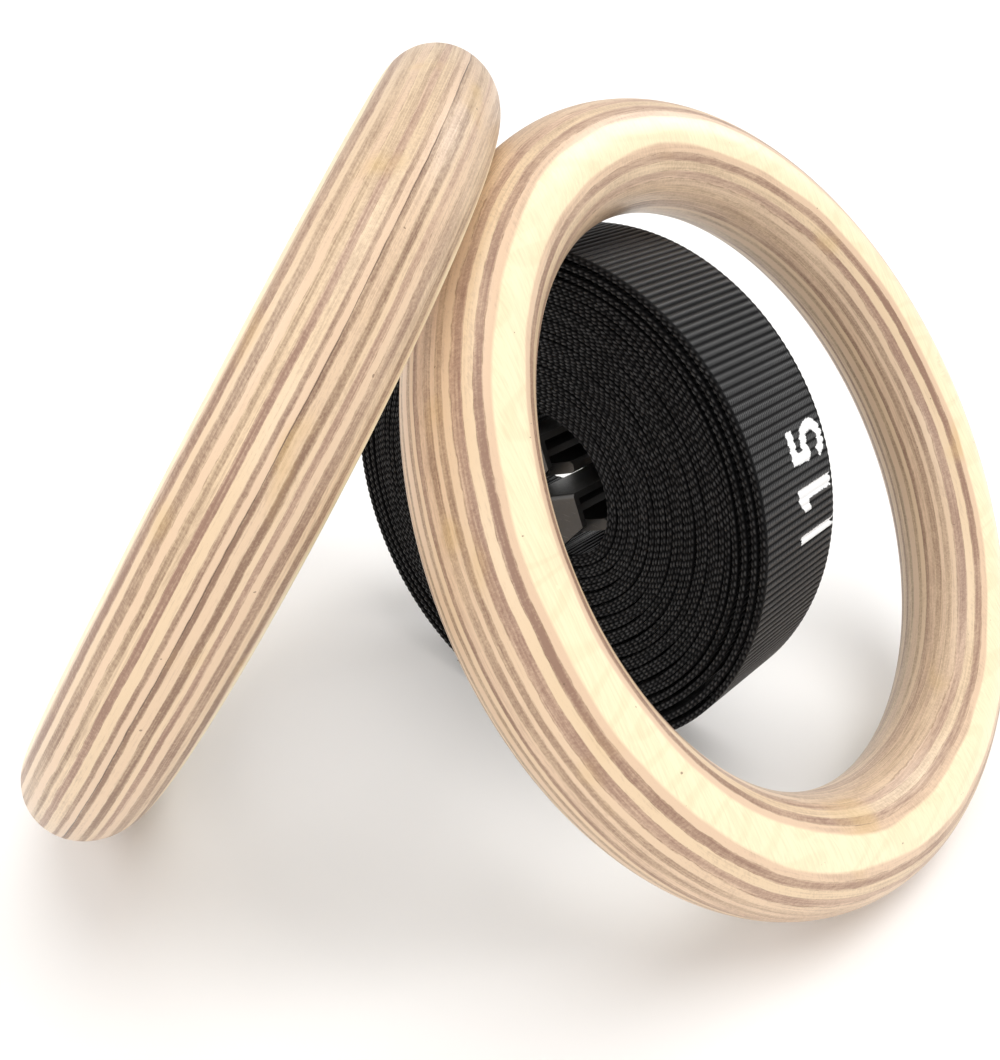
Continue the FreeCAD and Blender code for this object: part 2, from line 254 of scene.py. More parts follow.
def mesh_from(name, points, faces, material, attributes):
    """Points in millimetres, faces as an array of quads."""
    mesh = bpy.data.meshes.new(name)
    points = np.asarray(points, dtype=np.float64)
    faces = np.asarray(faces, dtype=np.int32)
    sides = faces.shape[1]
    mesh.vertices.add(len(points))
    mesh.vertices.foreach_set("co", (points * MM).astype(np.float32).ravel())
    mesh.loops.add(faces.size)
    mesh.loops.foreach_set("vertex_index", faces.ravel())
    mesh.polygons.add(len(faces))
    mesh.polygons.foreach_set("loop_start", np.arange(0, faces.size, sides, dtype=np.int32))
    mesh.polygons.foreach_set("loop_total", np.full(len(faces), sides, dtype=np.int32))
    mesh.update(calc_edges=True)
    mesh.validate()
    mesh.polygons.foreach_set("use_smooth", np.full(len(mesh.polygons), True))
    for key, values in attributes.items():
        layer = mesh.attributes.new(key, "FLOAT_VECTOR", "POINT")
        layer.data.foreach_set("vector", np.asarray(values, dtype=np.float32).ravel())
    mesh.materials.append(material)
    piece = bpy.data.objects.new(name, mesh)
    bpy.context.collection.objects.link(piece)
    return piece


def tube_faces(rows, around, close_rows=False):
    """Quads between rows of points that each go right round."""
    last = rows if close_rows else rows - 1
    i = np.arange(last)[:, None]
    j = np.arange(around)[None, :]
    k = (j + 1) % around
    n = (i + 1) % rows
    quads = np.stack([i * around + j, i * around + k, n * around + k, n * around + j], -1)
    return quads.reshape(-1, 4)


# ------------------------------------------------------------------ rings

# heading and tilt of each ring's axis, in degrees
RINGS = {"a": (-138.5, 28.3), "b": (0.0, 36.8)}
RING_MAJOR = 101.5
RING_MINOR = 16.0
PLY = 1.56


def ring_frame(which):
    """Centre and axes of a ring: its box's middle, and the way it leans."""
    low, high = box_mm("ring_" + which)
    centre = (low + high) / 2
    heading, tilt = (math.radians(v) for v in RINGS[which])
    level = math.cos(tilt)
    axis = np.array([math.cos(heading) * level, math.sin(heading) * level, math.sin(tilt)])
    side = np.cross([0, 0, 1.0], axis)
    side /= np.linalg.norm(side)
    return centre, side, np.cross(axis, side), axis


def make_ring(which, material):
    centre, side, rise, axis = ring_frame(which)
    rows, around = 480, 128
    a = np.linspace(0, 2 * np.pi, rows, endpoint=False)[:, None]
    t = np.linspace(0, 2 * np.pi, around, endpoint=False)[None, :]
    out = RING_MAJOR + RING_MINOR * np.cos(t)
    local = np.stack([out * np.cos(a), out * np.sin(a), RING_MINOR * np.sin(t) + 0 * a], -1)
    local = local.reshape(-1, 3)
    world = centre + local[:, :1] * side + local[:, 1:2] * rise + local[:, 2:] * axis
    piece = mesh_from("ring_%s_birch" % which, world, tube_faces(rows, around, True), material,
                      {"ring_mm": local})
    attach(piece, "ring_" + which)
    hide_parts("ring_" + which)


def ply_level(g, x, y, z, seed):
    """Place in the stack of plies, counted in plies, and the slow wave of the glue lines."""
    slow = g.noise(g.combine(x, y, g.add(g.times(z, 0.6), seed)), 0.021, 2.0, 0.5)
    fine = g.noise(g.combine(x, y, g.add(z, seed * 1.7)), 0.16, 3.0, 0.6)
    level = g.add(z, g.swing(slow, 1.7))
    level = g.add(level, g.swing(fine, 0.42))
    # plies aren't all as thick: the level is stretched and squeezed through the stack
    level = g.add(level, g.times(g.math("SINE", g.times(z, 0.93)), 0.30))
    level = g.add(level, g.times(g.math("SINE", g.add(g.times(z, 2.3), seed)), 0.16))
    return g.add(g.math("DIVIDE", level, PLY), 30.5), slow


def ply_darkness(g, x, y, z, ply, edge, contrast):
    """How dark each ply is, with its fibres; also the fibres, pores and blotches for later use."""
    even, tone, shift = ply
    # grain direction of this ply: along X or along Y by turns
    odd = g.rest(even)
    along = g.add(g.times(x, even), g.times(y, odd))
    across = g.add(g.times(y, even), g.times(x, odd))
    radius = g.math("SQRT", g.add(g.times(x, x), g.times(y, y)))
    cosine = g.math("DIVIDE", along, radius)
    end = g.times(cosine, cosine)
    moved = g.add(across, shift)
    fibre = g.noise(g.combine(g.times(along, 0.05), moved, g.times(z, 1.2)), 1.5, 6.0, 0.68)
    pores = g.noise(g.combine(g.times(along, 0.30), moved, g.times(z, 2.4)), 2.6, 2.0, 0.7)
    # streaks and lanes that follow the ring inside each ply, a fine hatch, and patches of tone
    far = g.add(g.times(y, 0.05), shift)
    streak = g.noise(g.combine(g.times(x, 0.05), far, g.times(z, 2.6)), 1.0, 4.0, 0.6)
    turn = g.times(g.math("ARCTAN2", y, x), 3.4)
    lanes = g.noise(g.combine(g.times(radius, 0.8), g.times(z, 2.9), turn), 1.0, 3.0, 0.62)
    slant = g.add(g.times(x, 1.9), g.times(z, 1.3))
    hatch = g.noise(g.combine(slant, g.times(y, 1.9), g.times(z, 0.6)), 1.0, 1.0, 0.5)
    hatch = g.smooth(hatch, 0.40, 0.62, -0.5, 0.5)
    blotch = g.noise(g.combine(g.add(x, shift), y, z), 0.04, 3.0, 0.6)
    dark = g.times(g.times(even, contrast), g.smooth(edge, 0.0, 0.20, 0.30, 1.0))
    for value, amount in ((end, 0.36), (tone, 0.50), (fibre, 1.0), (streak, 0.75), (blotch, 0.75)):
        dark = g.add(dark, g.swing(value, amount))
    dark = g.add(dark, g.times(hatch, g.add(0.03, g.times(even, 0.06))))
    dark = g.add(dark, g.swing(lanes, 0.95))
    return g.add(dark, 0.10, clamp=True), fibre, pores, blotch


def face_veneer(g, x, y, fibre, blotch, seed):
    """The palest ply, on both faces of the ring, with growth-ring arcs."""
    warp = g.noise(g.combine(g.times(x, 0.3), y, seed), 0.028, 2.0, 0.45)
    arcs = g.smooth(g.math("SINE", g.add(g.times(warp, 95.0), g.times(y, 0.2))), 0.2, 1.0)
    figure = g.mix(g.times(arcs, 0.20), (0.93, 0.80, 0.54), (0.74, 0.55, 0.33))
    figure = g.mix(g.times(g.less(fibre, 0.42), 1.1, clamp=True), figure, (0.58, 0.40, 0.24))
    return g.mix(g.smooth(blotch, 0.52, 0.85, 0.0, 0.22), figure, (0.72, 0.53, 0.33))


def glue_lines(g, x, y, z, shift, edge, tone, face):
    """Thin dark lines between plies, broken and uneven."""
    broken = g.noise(g.combine(g.add(x, shift), y, z), 0.22, 3.0, 0.65)
    wide = g.add(0.035, g.times(broken, 0.10))
    line = g.smooth(edge, 0.012, wide, 1.0, 0.0)
    line = g.times(line, g.smooth(broken, 0.40, 0.66, 0.08, 0.75))
    line = g.times(line, g.smooth(tone, 0.15, 0.85, 0.35, 1.0))
    return g.times(line, g.rest(face))


def birch_material(which, seed, centre_line, face_from, contrast):
    """Laminated birch: plies parallel to the ring's plane, grain crossing from ply to ply."""
    g = Graph("birch_" + which)
    place, x, y, z = g.attribute("ring_mm")
    level, slow = ply_level(g, x, y, z, seed)
    number = g.math("FLOOR", level)
    part = g.math("FRACT", level)
    even = g.math("MODULO", number, 2.0)
    tone = g.random(number, seed)
    second_tone = g.random(number, seed + 51.3)
    shift = g.times(number, 37.0)
    edge = g.math("MINIMUM", part, g.rest(part))
    dark, fibre, pores, blotch = ply_darkness(g, x, y, z, (even, tone, shift), edge, contrast)
    pale = g.mix(second_tone, (0.765, 0.575, 0.375), (0.725, 0.515, 0.36))
    brown = g.mix(second_tone, (0.25, 0.145, 0.088), (0.31, 0.178, 0.122))
    colour = g.mix(dark, pale, brown)
    warm = g.noise(g.combine(x, g.add(y, 40.0), g.times(z, 2.0)), 0.035, 2.0, 0.5)
    colour = g.mix(g.smooth(warm, 0.60, 0.78, 0.0, 0.45), colour, (0.66, 0.44, 0.17))
    depth = g.math("ABSOLUTE", g.add(z, g.swing(slow, 1.4)))
    face = g.smooth(depth, face_from, face_from + 0.3)
    colour = g.mix(face, colour, face_veneer(g, x, y, fibre, blotch, seed))
    line = glue_lines(g, x, y, z, shift, edge, second_tone, face)
    colour = g.mix(line, colour, (0.25, 0.14, 0.075))
    # one open joint where the level is centre_line; a line beyond the stack gives none
    joint = g.math("ABSOLUTE", g.less(level, centre_line))
    open_line = g.times(g.smooth(joint, 0.04, 0.16, 1.0, 0.0), g.smooth(blotch, 0.34, 0.56, 0.15, 0.9))
    colour = g.mix(open_line, colour, (0.13, 0.07, 0.04))
    # small torn pits, mostly where end grain meets the surface, and a few dark specks
    where = g.times(g.smooth(dark, 0.2, 0.8, 0.2, 0.9), g.rest(face))
    pits = g.times(g.smooth(pores, 0.60, 0.72), where)
    colour = g.mix(g.times(pits, 0.5), colour, (0.27, 0.16, 0.09))
    speck = g.smooth(g.noise(place, 0.55, 1.0, 0.5), 0.80, 0.82)
    colour = g.mix(g.times(speck, 0.7), colour, (0.16, 0.09, 0.05))
    height = g.less(g.times(fibre, 0.35), g.times(line, 0.8))
    height = g.less(height, g.add(g.times(pits, 0.6), g.times(open_line, 1.2)))
    g.shader.inputs["Coat Weight"].default_value = 0.18
    g.shader.inputs["Coat Roughness"].default_value = 0.28
    g.shader.inputs["Specular IOR Level"].default_value = 0.45
    return g.finish(colour, g.add(0.36, g.times(dark, 0.16)), g.bump(height, 0.6, 0.0002))


# ------------------------------------------------------------------ the roll: lines of the two straps

THICK = 1.75
PITCH = 1.95
CORE = np.array([-1.33, 2.75])
CORE_RADIUS = 26.7
DROP = 1.1
SINK_DEPTH, SINK_ANGLE, SINK_SPREAD = 10.0, -60.0, 36.0
FIRST_ANGLE = 202.0
WINDING = {"a": 4634.0, "b": 4752.0}
JOINS_AFTER = {"a": 0.0, "b": 52.0}
LEAD_IN_RADIUS = 8.0
FOLD_FROM, FOLD_TO = 13.0, 32.0
GROUP_X = 4.21
ROLL_X = (cad_bounds[0][0] + cad_bounds[1][0]) / 2 / MM + GROUP_X
ROLL_HEIGHT = 79.15
RIB = 2.26
BUCKLE_TURN = math.radians(25.9)
ALONG = np.array([math.cos(BUCKLE_TURN), math.sin(BUCKLE_TURN)])
ACROSS = np.array([math.sin(BUCKLE_TURN), -math.cos(BUCKLE_TURN)])
# from the pivot pin to the buckle's bar: (along, across)
PIN_TO_BAR = (5.5 - 15.5, 7.6 - 9.5)
BAR_RADIUS = 2.5


def pin_centre(which):
    low, high = box_mm("pivot_pin_" + which)
    middle = (low + high) / 2
    return np.array([middle[0] - ROLL_X, middle[2] - ROLL_HEIGHT])


def unit(degrees):
    angle = np.radians(degrees)
    return np.stack([np.cos(angle), np.sin(angle)], -1)


def coil(which, winding):
    """Centre, radius and point of the webbing's middle line after so many degrees of winding."""
    share = np.asarray(winding, float) / WINDING["b"]
    centre = CORE * (1 - share[..., None]) + np.array([0, DROP]) * share[..., None]
    radius = CORE_RADIUS + THICK / 2 + PITCH * ((which == "a") + 2 * np.asarray(winding) / 360)
    angle = FIRST_ANGLE - np.asarray(winding)
    away = (angle - SINK_ANGLE + 180) % 360 - 180
    radius = radius - SINK_DEPTH * np.exp(-(away / SINK_SPREAD) ** 2) * (1 - share)
    return centre, radius, centre + radius[..., None] * unit(angle)


def distance_along(points):
    steps = np.linalg.norm(np.diff(points, axis=0), axis=1)
    return np.concatenate([[0], np.cumsum(steps)])


def look_up(want, at, values):
    """Pairs of values at the wanted distances along a line."""
    return np.stack([np.interp(want, at, values[:, k]) for k in (0, 1)], -1)


def resample(points, step):
    """The same line with points an even distance apart."""
    at = distance_along(points)
    count = int(round(at[-1] / step))
    want = np.linspace(0, at[-1], count + 1)
    return look_up(want, at, points), want


def side_of(points):
    travel = np.gradient(points, axis=0)
    travel /= np.linalg.norm(travel, axis=1)[:, None]
    return np.stack([-travel[:, 1], travel[:, 0]], -1)


def smoothstep(value, low, high):
    t = np.clip((value - low) / (high - low), 0, 1)
    return t * t * (3 - 2 * t)


def folded_end(main, bar, eye, side):
    """The folded end, one layer in; also its line joined smoothly to the bend round the bar."""
    fold_line = main + side_of(main) * -(THICK + 0.12)
    run = distance_along(fold_line)
    fold = fold_line[(run > FOLD_FROM) & (run < FOLD_TO)][::-1]
    around = bar + eye * unit(math.degrees(side) + 200 * (1 - np.linspace(0, 1, 40)[:-1]))
    into = around[1] - around[0]
    into /= np.linalg.norm(into)
    off = fold[-1] - fold[-3]
    off /= np.linalg.norm(off)
    reach = np.linalg.norm(around[0] - fold[-1]) * 0.42
    t = np.linspace(0, 1, 30)[1:-1, None]
    one, two, three, four = fold[-1], fold[-1] + off * reach, around[0] - into * reach, around[0]
    join = one * (1 - t) ** 3 + two * 3 * t * (1 - t) ** 2 + three * 3 * t * t * (1 - t) + four * t ** 3
    return fold, np.concatenate([fold, join, around])


def strap_line(which):
    """Middle line from the folded end, round the bar, to the loose end, and its winding."""
    start = JOINS_AFTER[which]
    centre, radius, join = coil(which, np.array(start))
    bend_centre = join + (centre - join) * (LEAD_IN_RADIUS / radius)
    eye = BAR_RADIUS + 0.1 + THICK / 2
    pin = pin_centre(which)
    bar = pin + ALONG * PIN_TO_BAR[0] + ACROSS * PIN_TO_BAR[1]
    gap = bend_centre - bar
    side = math.atan2(gap[1], gap[0]) + math.acos((eye - LEAD_IN_RADIUS) / np.linalg.norm(gap))
    normal = np.array([math.cos(side), math.sin(side)])
    leave = bar + normal * eye
    meet = bend_centre + normal * LEAD_IN_RADIUS
    straight = leave + (meet - leave) * np.linspace(0, 1, 40)[:-1, None]
    stop = math.radians(FIRST_ANGLE - start)
    turn = (side - stop) % (2 * math.pi)
    bend = bend_centre + LEAD_IN_RADIUS * unit(np.degrees(side - turn * np.linspace(0, 1, 60)[:-1]))
    winding = np.linspace(start, WINDING[which], 9000)
    wound = coil(which, winding)[2]
    main = np.concatenate([straight, bend, wound])
    degrees = np.concatenate([np.full(len(straight) + len(bend), start - 1.0), winding])
    fold, lead = folded_end(main, bar, eye, side)
    points = np.concatenate([lead, main])
    degrees = np.concatenate([np.full(len(lead), start - 1.0), degrees])
    return points, degrees, fold


# the outer layers stand looser than the inner ones, which are packed in by up to TIGHTENED
LAYERS = 26.5
TIGHTENED, TIGHTENED_OVER = 2.5, 22.5
# the last turn bulges, this many degrees before its loose end
BULGE, BULGE_AT, BULGE_SPREAD = 0.9, 68.0, 22.0


def loosen(which, degrees):
    """Moves outward or inward by layer: inner layers packed tighter, the last few standing looser."""
    angle = np.radians(FIRST_ANGLE - degrees)
    from_outside = 2 * (WINDING["a"] - degrees) / 360 + (which == "b")
    core_to_rim = np.clip((LAYERS - from_outside) / TIGHTENED_OVER, 0, 1)
    move = -TIGHTENED * smoothstep(from_outside, 0.6, 4.2) * core_to_rim
    waves = 0.16 * np.sin(3 * angle + 0.9 * from_outside)
    waves = waves + 0.10 * np.sin(7 * angle - 1.3 * from_outside)
    waves += 0.08 * np.sin(13 * angle + 2.1 * from_outside)
    move += waves * smoothstep(degrees, 60, 700) * smoothstep(from_outside, 0.4, 2.5)
    if which == "a":
        turned = WINDING["a"] - degrees
        move += BULGE * np.exp(-((turned - BULGE_AT) / BULGE_SPREAD) ** 2)
    return move


def floor_limit(points):
    """Nothing of the webbing goes under the floor."""
    low = -ROLL_HEIGHT + THICK / 2 + 0.02
    points[:, 1] = np.maximum(points[:, 1], low)
    return points


# each edge of the webbing: (inset, share of half its thickness)
EDGE = ((0.30, 1.0), (0.06, 0.84), (0.0, 0.36), (0.0, -0.36), (0.06, -0.84), (0.30, -1.0))
RIB_HEIGHT = 0.38


def section():
    """Points round the webbing: (place across its width, share of half its thickness, at the edge)."""
    half = WIDTH / 2
    rows = [(inset - half, depth, 1) for inset, depth in EDGE]
    flats = (half - 2.2, half - 9, 0, 9 - half, 2.2 - half)
    rows += [(y, -1.0, 0) for y in reversed(flats)]
    rows += [(half - inset, depth, 1) for inset, depth in reversed(EDGE)]
    rows += [(y, 1.0, 0) for y in flats]
    return np.array(rows)


def rib_height(run):
    """Rounded ribs with narrow grooves: 0 on a rib, 1 in a groove."""
    return 1 - np.abs(np.cos(run / RIB * np.pi)) ** 0.9


class Strap:
    """The visible line of one strap: even steps along it, with its winding and outward side."""

    def __init__(self, which):
        points, degrees, self.fold = strap_line(which)
        out = side_of(points)
        move = loosen(which, degrees) * (degrees >= JOINS_AFTER[which])
        points = points + out * move[:, None]
        points = floor_limit(points)
        self.line, self.run = resample(points, RIB / 6)
        self.wind = np.interp(self.run, distance_along(points), degrees)
        self.out = side_of(self.line)
        # each turn lies a little further forward or back than the next
        table = np.random.default_rng(5 if which == "a" else 6).normal(0, 0.13, 64)
        angle = np.radians(FIRST_ANGLE - self.wind)
        self.drift = np.interp(self.wind / 180.0, np.arange(64), table)
        self.drift += 0.10 * np.sin(2 * angle + self.wind / 360)
        self.drift *= smoothstep(self.wind, 0, 60)

    def place(self, line, y, drift):
        return np.stack([line[:, 0] + ROLL_X, y + drift + ROLL_Y, line[:, 1] + ROLL_HEIGHT], -1)


def make_strap(which, strap, material):
    run = strap.run
    rows = section()
    world = np.empty((len(run), len(rows), 3))
    data = np.empty((len(run), len(rows), 3))
    for k, (y, depth, edge) in enumerate(rows):
        if edge:
            # two rows of slanted loops along the edge, half a rib apart
            phase = np.pi * (run / RIB + 0.25 * np.sign(depth) + 0.22 * depth * np.sign(y))
            loop = 1 - np.abs(np.cos(phase)) ** 0.8
            through = depth * (THICK / 2 - loop * 0.05 * (abs(depth) > 0.7))
            across = y - np.sign(y) * loop * (0.52 - 0.2 * abs(depth))
        else:
            through = depth * (THICK / 2 - RIB_HEIGHT * rib_height(run))
            across = np.full(len(run), y)
        spot = strap.line + strap.out * through[:, None]
        world[:, k] = strap.place(spot, across, strap.drift)
        data[:, k] = np.stack([run, np.full(len(run), y), np.full(len(run), depth)], -1)
    count = len(rows)
    faces = [tube_faces(len(run), count)]
    # both cut ends, closed by quads between the rows
    cap = np.array([(0, 21, 6, 5), (21, 20, 7, 6), (20, 19, 8, 7), (19, 18, 9, 8), (18, 17, 10, 9),
                    (17, 16, 11, 10), (0, 5, 4, 1), (1, 4, 3, 2), (16, 15, 12, 11), (15, 14, 13, 12)])
    faces.append(cap[:, ::-1])
    faces.append(cap + (len(run) - 1) * count)
    piece = mesh_from("strap_%s_webbing" % which, world.reshape(-1, 3), np.concatenate(faces), material,
                      {"web_mm": data.reshape(-1, 3)})
    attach(piece, "strap_roll")
    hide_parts("strap_" + which)
    return piece


# ------------------------------------------------------------------ printed length mark

OUTSIDE_RADIUS = 79.5
WHOLE_TURNS = 12
INK_STEP_ALONG, INK_STEP_ACROSS = 0.19, 0.25


def inside_polygon(u, v, corners):
    inside = np.zeros(u.shape, bool)
    for (x1, y1), (x2, y2) in zip(corners, corners[1:] + corners[:1]):
        crosses = (y1 > v) != (y2 > v)
        inside ^= crosses & (u < (x2 - x1) * (v - y1) / ((y2 - y1) or 1e-9) + x1)
    return inside


def numeral_one(u, v):
    corners = [(3.7, 17.5), (7.4, 17.5), (7.4, 0), (3.7, 0), (3.7, 12.6), (0.2, 11.2), (0.2, 14.6)]
    return inside_polygon(u, v, corners)


def numeral_five(u, v):
    bar = (u > 1.7) & (u < 11.3) & (v > 14.4) & (v < 17.5)
    stem = inside_polygon(u, v, [(1.7, 17.5), (4.9, 17.5), (4.4, 8.6), (1.1, 8.6)])
    radius = np.hypot(u - 6.0, (v - 5.8) * 1.02)
    way = np.degrees(np.arctan2(v - 5.8, u - 6.0)) % 360
    bowl = (radius < 6.1) & (radius > 2.9) & ~((way > 146) & (way < 205))
    return bar | stem | bowl


def tick(u, v):
    return (u > 0) & (u < 2.7) & (v > 0) & (v < 17.6)


def print_patch(strap, theta, back, inside, width, height):
    """A printed shape on the outermost turn; u runs with the angle, v toward the front edge."""
    nu, nv = int(width / INK_STEP_ALONG), int(height / INK_STEP_ACROSS)
    u = np.linspace(0, width, nu + 1)
    v = np.linspace(0, height, nv + 1)
    winding = FIRST_ANGLE + WHOLE_TURNS * 360 - (theta + np.degrees(u / OUTSIDE_RADIUS))
    last = strap.wind > WINDING["a"] - 380
    run = np.interp(winding, strap.wind[last], strap.run[last])
    line = look_up(run, strap.run, strap.line)
    out = look_up(run, strap.run, strap.out)
    drift = np.interp(run, strap.run, strap.drift)
    line = line + out * (THICK / 2 + 0.05 - RIB_HEIGHT * rib_height(run))[:, None]
    points = np.empty((nu + 1, nv + 1, 3))
    for k in range(nv + 1):
        points[:, k] = strap.place(line, WIDTH / 2 - back - v[k], drift)
    uu, vv = np.meshgrid((u[1:] + u[:-1]) / 2, (v[1:] + v[:-1]) / 2, indexing="ij")
    # the ink's outline is a little ragged
    rough = np.random.default_rng(int(theta * 10)).normal(0, 0.10, uu.shape)
    keep = inside(uu + rough, vv + rough)
    i, j = np.nonzero(keep)
    step = nv + 1
    quads = np.stack([i * step + j, (i + 1) * step + j, (i + 1) * step + j + 1, i * step + j + 1], -1)
    return points.reshape(-1, 3), quads


def make_print(strap, material):
    points, quads, total = [], [], 0
    for theta, back, inside, width, height in ((6.3, 0.9, tick, 3.0, 17.8),
                                               (12.6, 1.5, numeral_one, 8.0, 17.8),
                                               (21.6, 1.5, numeral_five, 12.6, 17.8)):
        some, faces = print_patch(strap, theta, back, inside, width, height)
        points.append(some)
        quads.append(faces + total)
        total += len(some)
    points = np.concatenate(points)
    quads = np.concatenate(quads)
    used, packed = np.unique(quads, return_inverse=True)
    piece = mesh_from("strap_a_length_mark", points[used], packed.reshape(quads.shape), material,
                      {"ink_mm": points[used]})
    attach(piece, "strap_roll")
    return piece


def ink_material():
    """White printing ink, worn thin in places."""
    g = Graph("white_ink")
    place = g.attribute("ink_mm")[0]
    rough = g.noise(place, 1.4, 4.0, 0.7)
    fine = g.noise(place, 5.0, 2.0, 0.6)
    worn = g.smooth(rough, 0.60, 0.72)
    colour = g.mix(g.times(worn, 0.45), (0.84, 0.84, 0.84), (0.45, 0.45, 0.46))
    normal = g.bump(g.add(fine, rough), 0.5, 0.0001)
    return g.finish(colour, g.add(0.55, g.times(fine, 0.15)), normal)


# ------------------------------------------------------------------ tubes, thread and springs

def tube(path, radius, around=6):
    """Points and quads of a closed round tube along a path."""
    path = np.asarray(path, float)
    travel = np.gradient(path, axis=0)
    travel /= np.linalg.norm(travel, axis=1)[:, None]
    near = np.array([0.0, 1.0, 0.0]) if abs(travel[0][1]) < 0.8 else np.array([1.0, 0.0, 0.0])
    rings = []
    for spot, way in zip(path, travel):
        near = near - way * near.dot(way)
        near /= np.linalg.norm(near)
        other = np.cross(way, near)
        turn = np.linspace(0, 2 * np.pi, around, endpoint=False)[:, None]
        rings.append(spot + radius * (np.cos(turn) * near + np.sin(turn) * other))
    count = len(path)
    points = np.concatenate(rings + [path[:1], path[-1:]])
    quads = tube_faces(count, around)
    k = np.arange(0, around, 2)
    first, last = count * around, count * around + 1
    one, two = (k + 1) % around, (k + 2) % around
    start = np.stack([np.full(len(k), first), two, one, k], -1)
    base = (count - 1) * around
    end = np.stack([np.full(len(k), last), base + k, base + one, base + two], -1)
    return points, np.concatenate([quads, start, end])


def join_parts(parts):
    points, faces, total = [], [], 0
    for some, quads in parts:
        points.append(some)
        faces.append(quads + total)
        total += len(some)
    return np.concatenate(points), np.concatenate(faces)


STITCH_ROWS, STITCH_FIRST_Y, STITCH_SPACING = 14, -14.3, 2.2
STITCH_PITCH = 2.1
THREAD_RADIUS = 0.19


def make_stitching(which, strap, material):
    """Rows of back stitches across the folded end, on its inner face."""
    fold = strap.fold
    normal = side_of(fold)
    run = distance_along(fold)
    parts = []
    for row in range(STITCH_ROWS):
        y = STITCH_FIRST_Y + row * STITCH_SPACING
        at = 0.6 + (row % 2) * STITCH_PITCH / 2
        while at + STITCH_PITCH < run[-1] - 0.4:
            t = np.linspace(0, 1, 7)
            s = at + t * STITCH_PITCH * 0.92
            dive = np.abs(2 * t - 1) ** 3
            lift = THICK / 2 + 0.30 - 0.42 * dive
            spot = look_up(s, run, fold) + look_up(s, run, normal) * lift[:, None]
            parts.append(tube(strap.place(spot, np.full(7, y) + (t - 0.5) * 0.25, 0.0), THREAD_RADIUS))
            at += STITCH_PITCH
    points, faces = join_parts(parts)
    piece = mesh_from("stitching_%s_thread" % which, points, faces, material,
                      {"thread_mm": points})
    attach(piece, "strap_roll")
    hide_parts("stitching_" + which)
    return piece


def make_spring(which, material):
    """Three turns of wire round the pin with one leg under the tab and one on the base."""
    low, high = box_mm("cam_spring_" + which)
    wire = 0.45
    radius = (high[0] - low[0]) / 2 - wire
    centre = (low + high) / 2
    pitch = (high[1] - low[1] - 2 * wire) / 3
    turn = np.linspace(0, 3, 145)
    angle = BUCKLE_TURN + 2 * np.pi * turn
    coil_y = low[1] + wire + pitch * turn
    path = np.stack([centre[0] + radius * np.cos(angle), coil_y, centre[2] + radius * np.sin(angle)], -1)
    way_in, way_out = path[0] - path[1], path[-1] - path[-2]
    way_in /= np.linalg.norm(way_in)
    way_out /= np.linalg.norm(way_out)
    reach = np.linspace(0.4, 2.6, 7)[:, None]
    path = np.concatenate([(path[0] + way_in * reach)[::-1], path, path[-1] + way_out * reach])
    points, faces = tube(path, wire, 10)
    piece = mesh_from("cam_spring_%s_wire" % which, points, faces, material,
                      {"wire_mm": points})
    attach(piece, "strap_roll")
    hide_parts("cam_spring_" + which)


